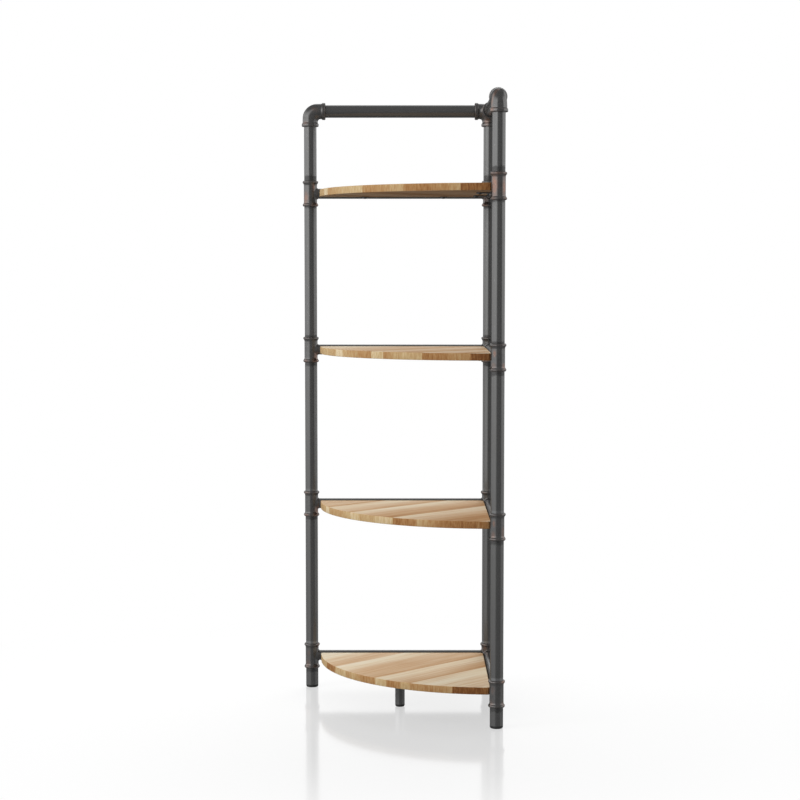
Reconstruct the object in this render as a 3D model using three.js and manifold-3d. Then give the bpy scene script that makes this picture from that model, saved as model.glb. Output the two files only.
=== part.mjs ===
// A corner shelf unit of steel pipe and wood.
//
// Three posts stand on the corners of a right-angled triangle: one in the corner of the room
// and one at the far end of each wall. A post is a stack of pipes joined by cast tees. Rails
// run from tee to tee along both walls and carry four quarter-round boards on welded tabs.
// Elbows and two more rails close the frame at the top, and a short leg stands under the
// middle of the lowest board.
//
// Millimetres, +Z up, floor at zero, origin midway between the end posts and the corner post
// along both walls. The back wall runs along X and the side wall along Y.

import * as THREE from "three";
import { mergeVertices, toCreasedNormals } from "three/addons/utils/BufferGeometryUtils.js";
import Module from "manifold-3d";

const wasm = await Module();
wasm.setup();

// Layout of the unit
const postSpan = 463; // corner post to end post, axis to axis
const lowestShelfHeight = 84; // floor to the axes of the lowest shelf rails
const shelfSpacing = 402.5; // from one shelf to the next
const topRailRise = 210.5; // from the highest shelf rails to the top rails
const shelfCount = 4;

// Pipes
const postDiameter = 32; // posts and top rails
const railDiameter = 26; // shelf rails
const legDiameter = 24;
const pipeWall = 2;

// Fits
const fitClearance = 0.3; // round a pipe in its socket, and between faces that meet
const cutOverrun = 4; // how far a cutting shape passes the faces that it opens
const weldDistance = 0.001; // vertices nearer than this are one vertex

// Tees: a body with a bead round each mouth and a slope behind each bead
const teeHalfLength = 33; // centre to each mouth
const teeSocketDepth = 9; // how far a post pipe goes in
const teeBodyStep = 1; // how far the body stands proud of the post pipes
const beadWidth = 7.5; // along the post, from the mouth
const beadHeight = 3.1; // over the body
const beadFoot = 0.8; // height of the bead's two edges over the body
const beadSlope = 3.6; // length of the slope from bead to body
const railSocketDepth = 4.5;
const railSocketWeb = 1.5; // metal left between the rail sockets of a corner tee
const railBossWall = 0.8; // round the mouth of a rail socket
const railBossFlare = 0.4; // how much wider the boss is at the post's axis

// Elbows: a bend with a raised band round each open end
const elbowWall = 2.4; // outside the pipe's socket, at the middle of the bend
const elbowFlare = 0.8; // how much thicker the bend is at its two ends
const elbowSocketDepth = 18;
const innerBendRadius = 9.8;
const outerBendRadius = 35;
const bandWidth = 9.6;
const bandHeight = 3; // over the middle of the bend
const bandSlope = 2.2; // length of the slope on the bend's side of a band
const bandChamfer = 1.2;
const bandGap = 1; // straight stretch between bend and band

// Boards: quarter rounds that lie between the rails
const boardThickness = 18;
const boardRailGap = 1; // straight edge to rail
const boardEndGap = 4.7; // board to the rail socket of an end post
const boardArcInset = 2.6; // centre of the front edge's arc, in from both rail axes
const boardCornerRadius = 3;

// Tabs that carry the boards, and the plate on the leg
const plateThickness = 3;
const tabWidth = 18;
const tabReach = 47; // rail axis to the tab's tip
const tabCornerDistance = 120; // corner post to the nearer tab
const tabPitch = 201; // one tab to the next
const screwHoleDiameter = 5;
const legPlateDiameter = 60;
const legScrewCircle = 42; // diameter of the ring of screws in the plate
const legScrewCount = 3;

// Feet: caps that plug the open ends of the posts and the leg
const capHeight = 6;
const capRounding = 4;
const capWall = 1.6;
const capPlugLength = 12;

// How finely round forms are divided
const roundSteps = 12; // sides of a pipe
const beadSteps = 4;
const bendSteps = 6; // rings in the outside of an elbow's bend
const passageSteps = 3; // rings in the inside of it
const boardArcSteps = 32;
const cornerSteps = 2;
const notchSteps = 4;
const tabTipSteps = 6;
const screwHoleSteps = 8;
const creaseAngle = Math.PI / 5;

// Sizes that follow from those above
const postRadius = postDiameter / 2;
const railRadius = railDiameter / 2;
const legRadius = legDiameter / 2;
const passageRadius = postRadius - pipeWall;
const postSocketRadius = postRadius + fitClearance;
const railSocketRadius = railRadius + fitClearance;
const teeRadius = postRadius + teeBodyStep;
const teeSeat = teeHalfLength - teeSocketDepth; // centre to the shoulder that stops a pipe
const railSeat = railSocketRadius + railSocketWeb; // post axis to the floor of a rail socket
const railBossReach = railSeat + railSocketDepth;
const railBossRadius = railSocketRadius + railBossWall;
const elbowRadius = postSocketRadius + elbowWall;
const bendCentre = elbowRadius + innerBendRadius; // from both pipe axes
const elbowReach = bendCentre + bandGap + bandWidth;
const elbowSeat = elbowReach - elbowSocketDepth;
const boardEdge = railRadius + boardRailGap;
const boardArcRadius = postSpan - railBossReach - boardEndGap - boardArcInset;
const notchRadius = Math.hypot(railBossReach, railBossRadius) + fitClearance;
const topRailHeight = lowestShelfHeight + (shelfCount - 1) * shelfSpacing + topRailRise;

const pipeFinish = { color: "#6f706f", metalness: 0.85, roughness: 0.4 };
const castFinish = { color: "#4a4744", metalness: 0.75, roughness: 0.55 };
const capFinish = { color: "#333333", metalness: 0, roughness: 0.6 };
const woodFinish = { color: "#c9a881", metalness: 0, roughness: 0.55 };

const down = new THREE.Vector3(0, 0, -1);
const alongX = new THREE.Vector3(1, 0, 0);
const alongY = new THREE.Vector3(0, 1, 0);

// A closed geometry as a solid that can be joined and cut.
function toSolid(geometry) {
  const bare = geometry.clone();
  bare.deleteAttribute("normal");
  bare.deleteAttribute("uv");
  const merged = mergeVertices(bare, weldDistance);
  return new wasm.Manifold(
    new wasm.Mesh({
      numProp: 3,
      vertProperties: merged.attributes.position.array,
      triVerts: new Uint32Array(merged.index.array),
    }),
  );
}

function toGeometry(solid) {
  const { vertProperties, triVerts } = solid.getMesh();
  const geometry = new THREE.BufferGeometry();
  geometry.setAttribute("position", new THREE.BufferAttribute(vertProperties, 3));
  geometry.setIndex(new THREE.BufferAttribute(triVerts, 1));
  return toCreasedNormals(geometry, creaseAngle);
}

// Points along an arc, both ends included, as [across, up] pairs.
function arc([across, up], radius, from, to, steps) {
  return Array.from({ length: steps + 1 }, (_, step) => {
    const angle = from + ((to - from) * step) / steps;
    return [across + radius * Math.cos(angle), up + radius * Math.sin(angle)];
  });
}

// A solid of revolution about Z, from an outline of [radius, height] points.
function turned(outline, steps = roundSteps) {
  const points = outline.map(([radius, height]) => new THREE.Vector2(radius, height));
  return new THREE.LatheGeometry(points, steps).rotateX(Math.PI / 2);
}

function rod(radius, from, to, steps = roundSteps) {
  const outline = [
    [0, from],
    [radius, from],
    [radius, to],
    [0, to],
  ];
  return turned(outline, steps);
}

function pipe(radius, from, to) {
  const bore = radius - pipeWall;
  return turned([
    [bore, from],
    [radius, from],
    [radius, to],
    [bore, to],
    [bore, from],
  ]);
}

// A flat piece of an even thickness, its outline given in plan.
function plate(outline, bottom, thickness) {
  const shape = new THREE.Shape(outline.map(([x, y]) => new THREE.Vector2(x, y)));
  const options = { depth: thickness, bevelEnabled: false };
  return new THREE.ExtrudeGeometry(shape, options).translate(0, 0, bottom);
}

// A solid through a row of rings. Each ring has a centre and the two half axes of its ellipse.
function loft(rings) {
  const points = [];
  for (const { centre, across, sideways } of rings) {
    for (let step = 0; step < roundSteps; step++) {
      const angle = (2 * Math.PI * step) / roundSteps;
      const point = centre.clone();
      point.addScaledVector(across, Math.cos(angle));
      points.push(point.addScaledVector(sideways, Math.sin(angle)));
    }
  }
  const faces = [];
  for (let ring = 0; ring < rings.length - 1; ring++) {
    for (let step = 0; step < roundSteps; step++) {
      const here = ring * roundSteps + step;
      const next = ring * roundSteps + ((step + 1) % roundSteps);
      faces.push(here, next, next + roundSteps);
      faces.push(here, next + roundSteps, here + roundSteps);
    }
  }
  const last = (rings.length - 1) * roundSteps;
  for (let step = 1; step < roundSteps - 1; step++) {
    faces.push(0, step + 1, step);
    faces.push(last, last + step, last + step + 1);
  }
  return new THREE.BufferGeometry().setFromPoints(points).setIndex(faces);
}

// Bead at a mouth of a tee, as outline points from its lower to its upper edge.
function beadOutline(height) {
  const halfWidth = beadWidth / 2;
  const rise = beadHeight - beadFoot;
  const radius = (halfWidth ** 2 + rise ** 2) / (2 * rise);
  const half = Math.asin(Math.min(1, halfWidth / radius));
  const centre = [teeRadius + beadHeight - radius, height];
  return arc(centre, radius, -half, half, beadSteps);
}

// Body of a tee about Z: sockets for two pipes, with a narrower passage between them.
function teeBody() {
  const beadPlace = teeHalfLength - beadWidth / 2;
  const slopeEnd = teeHalfLength - beadWidth - beadSlope;
  return toSolid(
    turned([
      [passageRadius, -teeSeat],
      [postSocketRadius, -teeSeat],
      [postSocketRadius, -teeHalfLength],
      ...beadOutline(-beadPlace),
      [teeRadius, -slopeEnd],
      [teeRadius, slopeEnd],
      ...beadOutline(beadPlace),
      [postSocketRadius, teeHalfLength],
      [postSocketRadius, teeSeat],
      [passageRadius, teeSeat],
      [passageRadius, -teeSeat],
    ]),
  );
}

// A tee with a short boss and a socket for a shelf rail on each given heading about Z.
function tee(headings) {
  const onSide = (geometry, heading) => toSolid(geometry.rotateY(Math.PI / 2).rotateZ(heading));
  const boss = [
    [0, 0],
    [railBossRadius + railBossFlare, 0],
    [railBossRadius, railBossReach],
    [0, railBossReach],
  ];
  let solid = teeBody();
  for (const heading of headings) solid = solid.add(onSide(turned(boss), heading));
  for (const heading of headings) {
    const socket = rod(railSocketRadius, railSeat, railBossReach + cutOverrun);
    solid = solid.subtract(onSide(socket, heading));
  }
  return solid.subtract(toSolid(rod(passageRadius, -teeSeat, teeSeat)));
}

// Distance from the centre of the inner bend to the outside of an elbow, at a turn of the bend.
function outerReach(turn) {
  const full = bendCentre + elbowRadius;
  const bend = Math.min(outerBendRadius, full);
  const shift = full - bend; // outer bend's centre from the inner one, along both arms
  if (Math.tan(turn) * full <= shift) return full / Math.cos(turn);
  if (full <= shift * Math.tan(turn)) return full / Math.sin(turn);
  const along = shift * (Math.cos(turn) + Math.sin(turn));
  return along + Math.sqrt(along ** 2 - 2 * shift ** 2 + bend ** 2);
}

// Rings of a bend from one arm to the other, swept about a centre on both arms' inner side.
function bendRings(first, second, centreOffset, steps, reaches) {
  const centre = first.clone().add(second).multiplyScalar(centreOffset);
  return Array.from({ length: steps + 1 }, (_, step) => {
    const turn = (Math.PI / 2) * (step / steps);
    const outward = second.clone().multiplyScalar(-Math.cos(turn));
    outward.addScaledVector(first, -Math.sin(turn));
    const { inner, outer, side } = reaches(turn);
    return {
      centre: centre.clone().addScaledVector(outward, (inner + outer) / 2),
      across: outward.clone().multiplyScalar((outer - inner) / 2),
      sideways: first.clone().cross(second).multiplyScalar(side),
    };
  });
}

// Rings of a straight arm, from a list of [distance, radius] pairs.
function armRings(arm, other, sideways, stations) {
  return stations.map(([distance, radius]) => ({
    centre: arm.clone().multiplyScalar(distance),
    across: other.clone().multiplyScalar(-radius),
    sideways: sideways.clone().multiplyScalar(radius),
  }));
}

// Outside of an elbow: band, bend, band.
function elbowOutside(first, second) {
  const sideways = first.clone().cross(second);
  const bandRadius = elbowRadius + bandHeight;
  const band = [
    [elbowReach, bandRadius - bandChamfer],
    [elbowReach - bandChamfer, bandRadius],
    [elbowReach - bandWidth + bandSlope, bandRadius],
    [elbowReach - bandWidth, elbowRadius + elbowFlare],
  ];
  const reaches = (turn) => {
    const flare = elbowFlare * Math.cos(2 * turn) ** 2;
    return {
      inner: innerBendRadius - flare,
      outer: outerReach(turn) + flare,
      side: elbowRadius + flare,
    };
  };
  return toSolid(
    loft([
      ...armRings(first, second, sideways, band),
      ...bendRings(first, second, bendCentre, bendSteps, reaches),
      ...armRings(second, first, sideways, band.toReversed()),
    ]),
  );
}

// Inside of an elbow: pipe socket, shoulder, curved passage, shoulder, pipe socket.
function elbowInside(first, second) {
  const sideways = first.clone().cross(second);
  const socket = [
    [elbowReach + cutOverrun, postSocketRadius],
    [elbowSeat, postSocketRadius],
  ];
  const reaches = () => ({
    inner: elbowSeat - passageRadius,
    outer: elbowSeat + passageRadius,
    side: passageRadius,
  });
  return toSolid(
    loft([
      ...armRings(first, second, sideways, socket),
      ...bendRings(first, second, elbowSeat, passageSteps, reaches),
      ...armRings(second, first, sideways, socket.toReversed()),
    ]),
  );
}

// An elbow that joins every pair of its arms.
function elbow(arms) {
  const pairs = arms.flatMap((first, place) => arms.slice(place + 1).map((next) => [first, next]));
  const joined = (make) => wasm.Manifold.union(pairs.map(([first, next]) => make(first, next)));
  return joined(elbowOutside).subtract(joined(elbowInside));
}

// A shelf rail along X from the corner post's axis, with its tabs on one side: +1 or -1 in Y.
function shelfRail(side) {
  const start = railSeat + fitClearance;
  const end = postSpan - start;
  const tabBottom = -boardThickness / 2 - fitClearance - plateThickness;
  const alongRail = (geometry) => toSolid(geometry.rotateY(Math.PI / 2));
  let solid = alongRail(rod(railRadius, start, end));
  for (const place of [tabCornerDistance, tabCornerDistance + tabPitch]) {
    const tip = arc([place, tabReach - tabWidth / 2], tabWidth / 2, 0, Math.PI, tabTipSteps);
    const outline = [[place + tabWidth / 2, 0], ...tip, [place - tabWidth / 2, 0]];
    const tab = outline.map(([x, y]) => [x, side * y]);
    const holeBottom = tabBottom - cutOverrun;
    const holeTop = tabBottom + plateThickness + cutOverrun;
    const hole = rod(screwHoleDiameter / 2, holeBottom, holeTop, screwHoleSteps);
    hole.translate(place, side * (tabReach - tabWidth / 2), 0);
    solid = solid.add(toSolid(plate(tab, tabBottom, plateThickness))).subtract(toSolid(hole));
  }
  const bore = rod(railRadius - pipeWall, start - cutOverrun, end + cutOverrun);
  return solid.subtract(alongRail(bore));
}

function topRail() {
  const start = elbowSeat + fitClearance;
  return pipe(postRadius, start, postSpan - start).rotateY(Math.PI / 2);
}

// A board in plan, seen from the corner post's axis: both straight edges run beside the rails,
// the front is one arc, and a notch clears the tee in the corner.
function boardOutline() {
  const notchTurn = Math.asin(boardEdge / notchRadius);
  const roundReach = boardArcRadius - boardCornerRadius;
  const roundIn = boardEdge + boardCornerRadius;
  const roundOut = boardArcInset + Math.sqrt(roundReach ** 2 - (roundIn - boardArcInset) ** 2);
  const arcTurn = Math.asin((roundIn - boardArcInset) / roundReach);
  const arcCentre = [-boardArcInset, -boardArcInset];
  const left = Math.PI + arcTurn;
  const front = 1.5 * Math.PI - arcTurn;
  const notchFrom = 1.5 * Math.PI - notchTurn;
  return [
    ...arc([-roundOut, -roundIn], boardCornerRadius, Math.PI / 2, left, cornerSteps),
    ...arc(arcCentre, boardArcRadius, left, front, boardArcSteps).slice(1, -1),
    ...arc([-roundIn, -roundOut], boardCornerRadius, front, 2 * Math.PI, cornerSteps),
    ...arc([0, 0], notchRadius, notchFrom, Math.PI + notchTurn, notchSteps),
  ];
}

// The leg under the lowest board: a short pipe welded to a round plate with screw holes.
function centreLeg(top) {
  const plateBottom = top - plateThickness;
  let solid = toSolid(rod(legPlateDiameter / 2, plateBottom, top, 2 * roundSteps));
  solid = solid.add(toSolid(pipe(legRadius, capHeight + fitClearance, top)));
  for (let screw = 0; screw < legScrewCount; screw++) {
    const holeBottom = plateBottom - cutOverrun;
    const hole = rod(screwHoleDiameter / 2, holeBottom, top + cutOverrun, screwHoleSteps);
    hole.translate(legScrewCircle / 2, 0, 0).rotateZ((2 * Math.PI * screw) / legScrewCount);
    solid = solid.subtract(toSolid(hole));
  }
  return solid;
}

// A cap with a rounded rim, plugged into the open end of a pipe that stands on the floor.
function footCap(pipeRadius) {
  const plugRadius = pipeRadius - pipeWall - fitClearance;
  const rimCentre = [pipeRadius - capRounding, capRounding];
  return turned([
    [0, 0],
    ...arc(rimCentre, capRounding, -Math.PI / 2, 0, cornerSteps),
    [pipeRadius, capHeight],
    [plugRadius, capHeight],
    [plugRadius, capHeight + capPlugLength],
    [plugRadius - capWall, capHeight + capPlugLength],
    [plugRadius - capWall, capHeight],
    [0, capHeight],
  ]);
}

function piece(name, geometry, finish) {
  const mesh = new THREE.Mesh(geometry, new THREE.MeshStandardMaterial(finish));
  mesh.name = name;
  return mesh;
}

const shelfHeights = Array.from(
  { length: shelfCount },
  (_, shelf) => lowestShelfHeight + shelf * shelfSpacing,
);

// A post: foot cap, then pipe and tee by turns, and an elbow on top.
function post(name, teeGeometry, elbowGeometry) {
  const group = new THREE.Group();
  const starts = [capHeight, ...shelfHeights.map((height) => height + teeSeat)];
  const ends = [...shelfHeights.map((height) => height - teeSeat), topRailHeight - elbowSeat];
  group.add(piece(`${name}_foot_cap`, footCap(postRadius), capFinish));
  starts.forEach((start, place) => {
    const kind = place === 0 ? "foot_pipe" : place === shelfCount ? "top_pipe" : `pipe_${place}`;
    const length = pipe(postRadius, start + fitClearance, ends[place] - fitClearance);
    group.add(piece(`${name}_${kind}`, length, pipeFinish));
  });
  shelfHeights.forEach((height, shelf) => {
    const mesh = piece(`${name}_tee_${shelf + 1}`, teeGeometry, castFinish);
    mesh.position.z = height;
    group.add(mesh);
  });
  const top = piece(`${name}_elbow`, elbowGeometry, castFinish);
  top.position.z = topRailHeight;
  group.add(top);
  return group;
}

const endTee = toGeometry(tee([0]));
const cornerTee = toGeometry(tee([Math.PI, 1.5 * Math.PI]));
const endElbow = toGeometry(elbow([down, alongX]));
const cornerElbow = toGeometry(elbow([down, alongX.clone().negate(), alongY.clone().negate()]));

// Everything hangs off the corner post: the back wall runs to -X and the side wall to -Y.
const unit = new THREE.Group();
const corner = new THREE.Group();
corner.position.set(postSpan / 2, postSpan / 2, 0);
unit.add(corner);

const leftPost = post("left", endTee, endElbow);
leftPost.position.x = -postSpan;
const rightPost = post("right", endTee, endElbow);
rightPost.position.y = -postSpan;
rightPost.rotation.z = Math.PI / 2;
corner.add(leftPost, rightPost, post("corner", cornerTee, cornerElbow));

const boardGeometry = plate(boardOutline(), -boardThickness / 2, boardThickness);
const walls = [
  { name: "back", heading: Math.PI, rail: toGeometry(shelfRail(1)) },
  { name: "side", heading: -Math.PI / 2, rail: toGeometry(shelfRail(-1)) },
];
for (const { name, heading, rail } of walls) {
  const frame = new THREE.Group();
  frame.rotation.z = heading;
  shelfHeights.forEach((height, shelf) => {
    const mesh = piece(`${name}_rail_${shelf + 1}`, rail, pipeFinish);
    mesh.position.z = height;
    frame.add(mesh);
  });
  const top = piece(`${name}_top_rail`, topRail(), pipeFinish);
  top.position.z = topRailHeight;
  frame.add(top);
  corner.add(frame);
}
shelfHeights.forEach((height, shelf) => {
  const mesh = piece(`board_${shelf + 1}`, boardGeometry, woodFinish);
  mesh.position.z = height;
  corner.add(mesh);
});

const leg = new THREE.Group();
leg.position.set(-postSpan / 2, -postSpan / 2, 0);
const legTop = lowestShelfHeight - boardThickness / 2 - fitClearance;
leg.add(piece("centre_leg", toGeometry(centreLeg(legTop)), pipeFinish));
leg.add(piece("centre_leg_cap", footCap(legRadius), capFinish));
corner.add(leg);

export default unit;
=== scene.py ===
# A corner shelf unit of steel pipe, cast fittings and glued-up wood.
import math

import bmesh
import bpy
from mathutils import Matrix, Vector


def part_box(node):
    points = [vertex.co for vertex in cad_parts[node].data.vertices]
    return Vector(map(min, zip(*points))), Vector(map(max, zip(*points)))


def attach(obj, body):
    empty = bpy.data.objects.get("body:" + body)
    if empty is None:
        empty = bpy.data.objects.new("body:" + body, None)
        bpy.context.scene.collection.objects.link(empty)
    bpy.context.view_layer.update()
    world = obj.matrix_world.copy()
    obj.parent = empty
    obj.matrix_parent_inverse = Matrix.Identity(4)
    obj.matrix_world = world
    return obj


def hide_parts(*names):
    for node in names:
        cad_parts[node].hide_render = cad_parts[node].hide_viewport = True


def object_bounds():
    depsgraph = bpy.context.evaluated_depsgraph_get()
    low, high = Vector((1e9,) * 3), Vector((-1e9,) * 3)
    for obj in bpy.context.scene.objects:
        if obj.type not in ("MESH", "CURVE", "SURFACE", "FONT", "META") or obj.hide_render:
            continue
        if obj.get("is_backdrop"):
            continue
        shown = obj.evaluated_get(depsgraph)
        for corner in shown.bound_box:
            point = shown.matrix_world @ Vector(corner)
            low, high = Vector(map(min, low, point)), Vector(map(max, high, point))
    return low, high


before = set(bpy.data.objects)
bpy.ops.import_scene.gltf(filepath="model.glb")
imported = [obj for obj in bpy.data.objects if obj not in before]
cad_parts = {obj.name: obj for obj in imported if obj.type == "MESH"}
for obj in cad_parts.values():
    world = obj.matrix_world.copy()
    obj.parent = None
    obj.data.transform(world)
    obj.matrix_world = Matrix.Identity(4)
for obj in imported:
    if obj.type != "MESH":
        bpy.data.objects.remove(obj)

cad_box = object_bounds()


# Pipes of the posts and the two top rails.
# Welded steel tube with a thin wall, cut square and deburred. It is sprayed a satin gunmetal grey
# that follows the fine drawing marks of the tube. Its ends sit in fittings, or on a cap at the floor.
mm = 0.001
pipe_wall = 2 * mm
pipe_chamfer = 0.4 * mm
pipe_sides = 64
stain_fade = 9 * mm
# How far sealant and hand marks darken each pipe from its lower and its upper end, sockets included,
# and how strong the painted highlight is: a pale ring painted over the fitting below.
stains = {
    "top_pipe": (17 * mm, 14 * mm, 0.0),
    "pipe_3": (9 * mm, 9 * mm, 0.0),
    "pipe_2": (1 * mm, 14 * mm, 0.4),
    "pipe_1": (1 * mm, 13 * mm, 0.8),
    "foot_pipe": (0, 14 * mm, 0.0),
    "top_rail": (14 * mm, 14 * mm, 0.0),
}
stain_color = (0.1, 0.099, 0.098, 1)
stain_roughness = 0.22  # added where a stain is darkest
blotch_depth = 1.2  # how much blotches break up the edge of a stain
# A painted highlight: a pale ring at the foot of some pipes, over the fitting below.
highlight_ring_length = 14 * mm
highlight_ring_fade = 2 * mm
highlight_ring_color = (0.42, 0.425, 0.43, 1)
mark_stretch = 0.06  # scale of the drawing marks along a tube, against 1 round it
sharp_edge = math.radians(32)  # edges that turn more than this stay crisp


def circle(radius, height, sides):
    turns = [2 * math.pi * side / sides for side in range(sides)]
    return [Vector((radius * math.cos(turn), radius * math.sin(turn), height)) for turn in turns]


def lofted(rings, closed=False):
    """A body through a row of rings: capped at both ends, or closed on itself like a tube's wall."""
    body = bmesh.new()
    loops = [[body.verts.new(point) for point in ring] for ring in rings]
    following = loops[1:] + loops[:1] if closed else loops[1:]
    for lower, upper in zip(loops, following):
        for place in range(len(lower)):
            body.faces.new((lower[place - 1], lower[place], upper[place], upper[place - 1]))
    if not closed:
        body.faces.new(loops[0])
        body.faces.new(loops[-1])
    bmesh.ops.recalc_face_normals(body, faces=body.faces)
    return body


def turned(outline, sides=pipe_sides, closed=False):
    """A round body from (radius, height) points."""
    return lofted([circle(radius, height, sides) for radius, height in outline], closed)


def pointing(direction):
    """Turns the Z axis of a body to a direction."""
    return Vector((0, 0, 1)).rotation_difference(Vector(direction)).to_matrix().to_4x4()


def mesh_of(name, body):
    mesh = bpy.data.meshes.new(name)
    body.to_mesh(mesh)
    body.free()
    return mesh


def placed(name, data):
    """A mesh, a lamp or a camera as an object in the scene."""
    made = bpy.data.objects.new(name, data)
    bpy.context.scene.collection.objects.link(made)
    return made


def piece(name, body, finish, nodes=()):
    """Makes a finished body a piece of the unit that stands for its nodes."""
    bmesh.ops.recalc_face_normals(body, faces=body.faces)
    # Now and then that leaves a closed body inside out.
    if body.calc_volume(signed=True) < 0:
        bmesh.ops.reverse_faces(body, faces=body.faces)
    mesh = mesh_of(name, body)
    mesh.materials.append(finish)
    mesh.shade_smooth()
    mesh.set_sharp_from_angle(angle=sharp_edge)
    made = placed(name, mesh)
    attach(made, "root")
    if nodes:
        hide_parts(*nodes)


def add(tree, kind, inputs=None, **settings):
    """Adds a shader node with its settings. An input is given as a value, or as a socket to link."""
    node = tree.nodes.new(kind)
    for name, value in settings.items():
        setattr(node, name, value)
    for name, value in (inputs or {}).items():
        if isinstance(value, bpy.types.NodeSocket):
            tree.links.new(value, node.inputs[name])
        else:
            node.inputs[name].default_value = value
    return node


def computed(tree, operation, *values, clamp=False):
    """What a sum makes of values and sockets."""
    inputs = dict(enumerate(values))
    return add(tree, "ShaderNodeMath", inputs, operation=operation, use_clamp=clamp).outputs[0]


def stretched(tree, place, scales):
    inputs = {0: place, 1: scales}
    return add(tree, "ShaderNodeVectorMath", inputs, operation="MULTIPLY").outputs[0]


def noise(tree, place, scale, detail, roughness=0.5):
    inputs = {"Vector": place, "Scale": scale, "Detail": detail, "Roughness": roughness}
    return add(tree, "ShaderNodeTexNoise", inputs).outputs["Fac"]


def overlaid(tree, under, over, share):
    """One colour over another, by a share."""
    inputs = {"Factor": share, 6: under, 7: over}
    return add(tree, "ShaderNodeMix", inputs, data_type="RGBA").outputs[2]


def ramp(tree, factor, stops):
    """A colour ramp from (position, grey or colour) stops."""
    node = add(tree, "ShaderNodeValToRGB", {"Fac": factor})
    elements = node.color_ramp.elements
    while len(elements) < len(stops):
        elements.new(1)
    for element, (position, shade) in zip(elements, stops):
        element.position = position
        element.color = (*shade, 1) if isinstance(shade, tuple) else (shade, shade, shade, 1)
    return node.outputs["Color"]


def shared_effect(name, inputs, outputs):
    """An empty node group with named inputs and outputs, for an effect that finishes can share."""
    tree = bpy.data.node_groups.new(name, "ShaderNodeTree")
    for socket, kind in inputs.items():
        tree.interface.new_socket(socket, in_out="INPUT", socket_type=kind)
    for socket, kind in outputs.items():
        tree.interface.new_socket(socket, in_out="OUTPUT", socket_type=kind)
    return tree, tree.nodes.new("NodeGroupInput").outputs, tree.nodes.new("NodeGroupOutput").inputs


def new_finish(name, constants):
    """A material with a Principled shader, whose constant sockets are given by name."""
    finish = bpy.data.materials.new(name)
    finish.use_nodes = True
    shader = finish.node_tree.nodes["Principled BSDF"]
    for socket, value in constants.items():
        shader.inputs[socket].default_value = value
    return finish, finish.node_tree, shader


# Fine marks that change a colour, a roughness and a height over the surface.
marks, given, result = shared_effect(
    "fine_marks",
    {
        "Color": "NodeSocketColor",
        "Marked Color": "NodeSocketColor",
        "Roughness": "NodeSocketFloat",
        "Roughness Change": "NodeSocketFloat",
        "Amount": "NodeSocketFloat",
        "Scale": "NodeSocketFloat",
        "Stretch": "NodeSocketVector",
    },
    {"Color": "NodeSocketColor", "Roughness": "NodeSocketFloat", "Height": "NodeSocketFloat"},
)
place = add(marks, "ShaderNodeTexCoord").outputs["Object"]
fine = noise(marks, stretched(marks, place, given["Stretch"]), given["Scale"], 5.0, 0.6)
strength = computed(marks, "MULTIPLY", ramp(marks, fine, [(0.4, 0.0), (0.68, 1.0)]), given["Amount"])
colored = overlaid(marks, given["Color"], given["Marked Color"], strength)
rougher = computed(marks, "MULTIPLY_ADD", fine, given["Roughness Change"], given["Roughness"])
marks.links.new(colored, result["Color"])
marks.links.new(rougher, result["Roughness"])
marks.links.new(fine, result["Height"])


def use_marks(tree, **values):
    """The fine marks in a finish, with their own values."""
    group = add(tree, "ShaderNodeGroup", node_tree=marks)
    for name, value in values.items():
        group.inputs[name.replace("_", " ").title()].default_value = value
    return group.outputs


def surfaced(tree, shader, color, roughness, height, distance, strength=0.5):
    """Gives a finish its colour and roughness, and bumps that are at most a distance high."""
    bump = add(tree, "ShaderNodeBump", {"Height": height, "Distance": distance, "Strength": strength})
    tree.links.new(color, shader.inputs["Base Color"])
    tree.links.new(roughness, shader.inputs["Roughness"])
    tree.links.new(bump.outputs["Normal"], shader.inputs["Normal"])


def gunmetal(way):
    """The lacquer, with its marks along the X, Y or Z axis."""
    finish, tree, shader = new_finish(f"gunmetal_lacquer_{'xyz'[way]}", {"Metallic": 0.9})
    stretch = [1, 1, 1]
    stretch[way] = mark_stretch
    found = use_marks(
        tree,
        color=(0.25, 0.25, 0.248, 1),
        marked_color=(0.22, 0.22, 0.218, 1),
        roughness=0.16,
        roughness_change=0.06,
        amount=0.5,
        scale=160.0,
        stretch=stretch,
    )
    stain = add(tree, "ShaderNodeAttribute", attribute_name="stain").outputs["Fac"]
    place = add(tree, "ShaderNodeTexCoord").outputs["Object"]
    blotch = noise(tree, place, 140.0, 3.0)
    lowered = computed(tree, "SUBTRACT", stain, blotch_depth / 2)
    uneven = computed(tree, "MULTIPLY_ADD", blotch, blotch_depth, lowered)
    stained = ramp(tree, uneven, [(0.3, 0.0), (0.7, 0.75)])
    # The ring is a painted highlight, a pale band over the fitting below.
    ring = add(tree, "ShaderNodeAttribute", attribute_name="ring").outputs["Fac"]
    colored = overlaid(tree, overlaid(tree, found["Color"], highlight_ring_color, ring), stain_color, stained)
    rougher = computed(tree, "MULTIPLY_ADD", stained, stain_roughness, found["Roughness"])
    surfaced(tree, shader, colored, rougher, found["Height"], distance=0.02 * mm, strength=0.3)
    return finish


lacquers = [gunmetal(way) for way in range(3)]


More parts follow.
